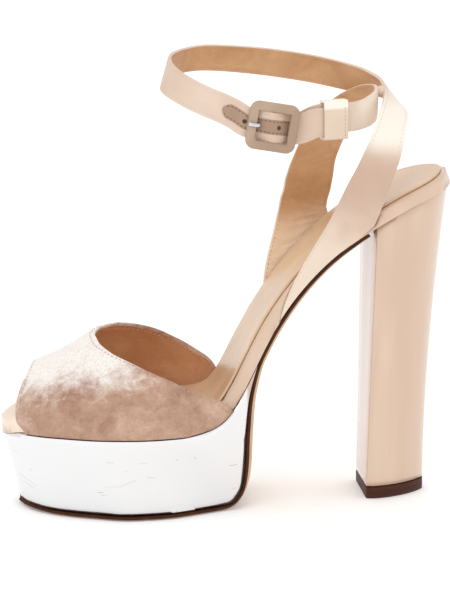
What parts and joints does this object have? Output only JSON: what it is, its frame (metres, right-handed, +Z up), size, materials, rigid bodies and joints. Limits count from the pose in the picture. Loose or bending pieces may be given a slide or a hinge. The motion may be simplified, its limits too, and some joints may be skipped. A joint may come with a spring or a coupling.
{
  "type": "platform sandal",
  "caption": "High-heeled platform sandal: a peep-toe vamp, ankle straps crossed at the back and closed by a covered buckle, a mirror-faced platform and a block heel.",
  "frame": {"origin": "on the floor, under the middle of the sandal's outline", "axes": "toe towards -X, heel towards +X, outer side of the foot towards -Y, inner side towards +Y, +Z up"},
  "size_m": [0.2106, 0.0844, 0.2106],
  "materials": {
    "outsole_leather": "dark edge, smooth tan underside",
    "mirror_foil": "silver mirror foil leather, slightly scuffed",
    "nude_leather": "smooth nude wrapping",
    "tan_leather": "glossy tan",
    "velvet": "crushed nude-pink velvet",
    "satin": "nude satin, tan leather lining",
    "satin_cover": "satin-covered frame",
    "steel": "polished",
    "satin_keeper": "folded satin",
    "nude_patent": "glossy nude patent wrapping",
    "heel_rubber": "dark brown top piece"
  },
  "bodies": {
    "root": {"outsole": "outsole_leather", "platform": "mirror_foil", "insole": "nude_leather", "sock_lining": "tan_leather", "vamp": "velvet", "ankle_straps": "satin", "buckle_frame": "satin_cover", "buckle_prong": "steel", "keeper": "satin_keeper", "heel": "nude_patent", "heel_tip": "heel_rubber"}
  },
  "joints": []
}
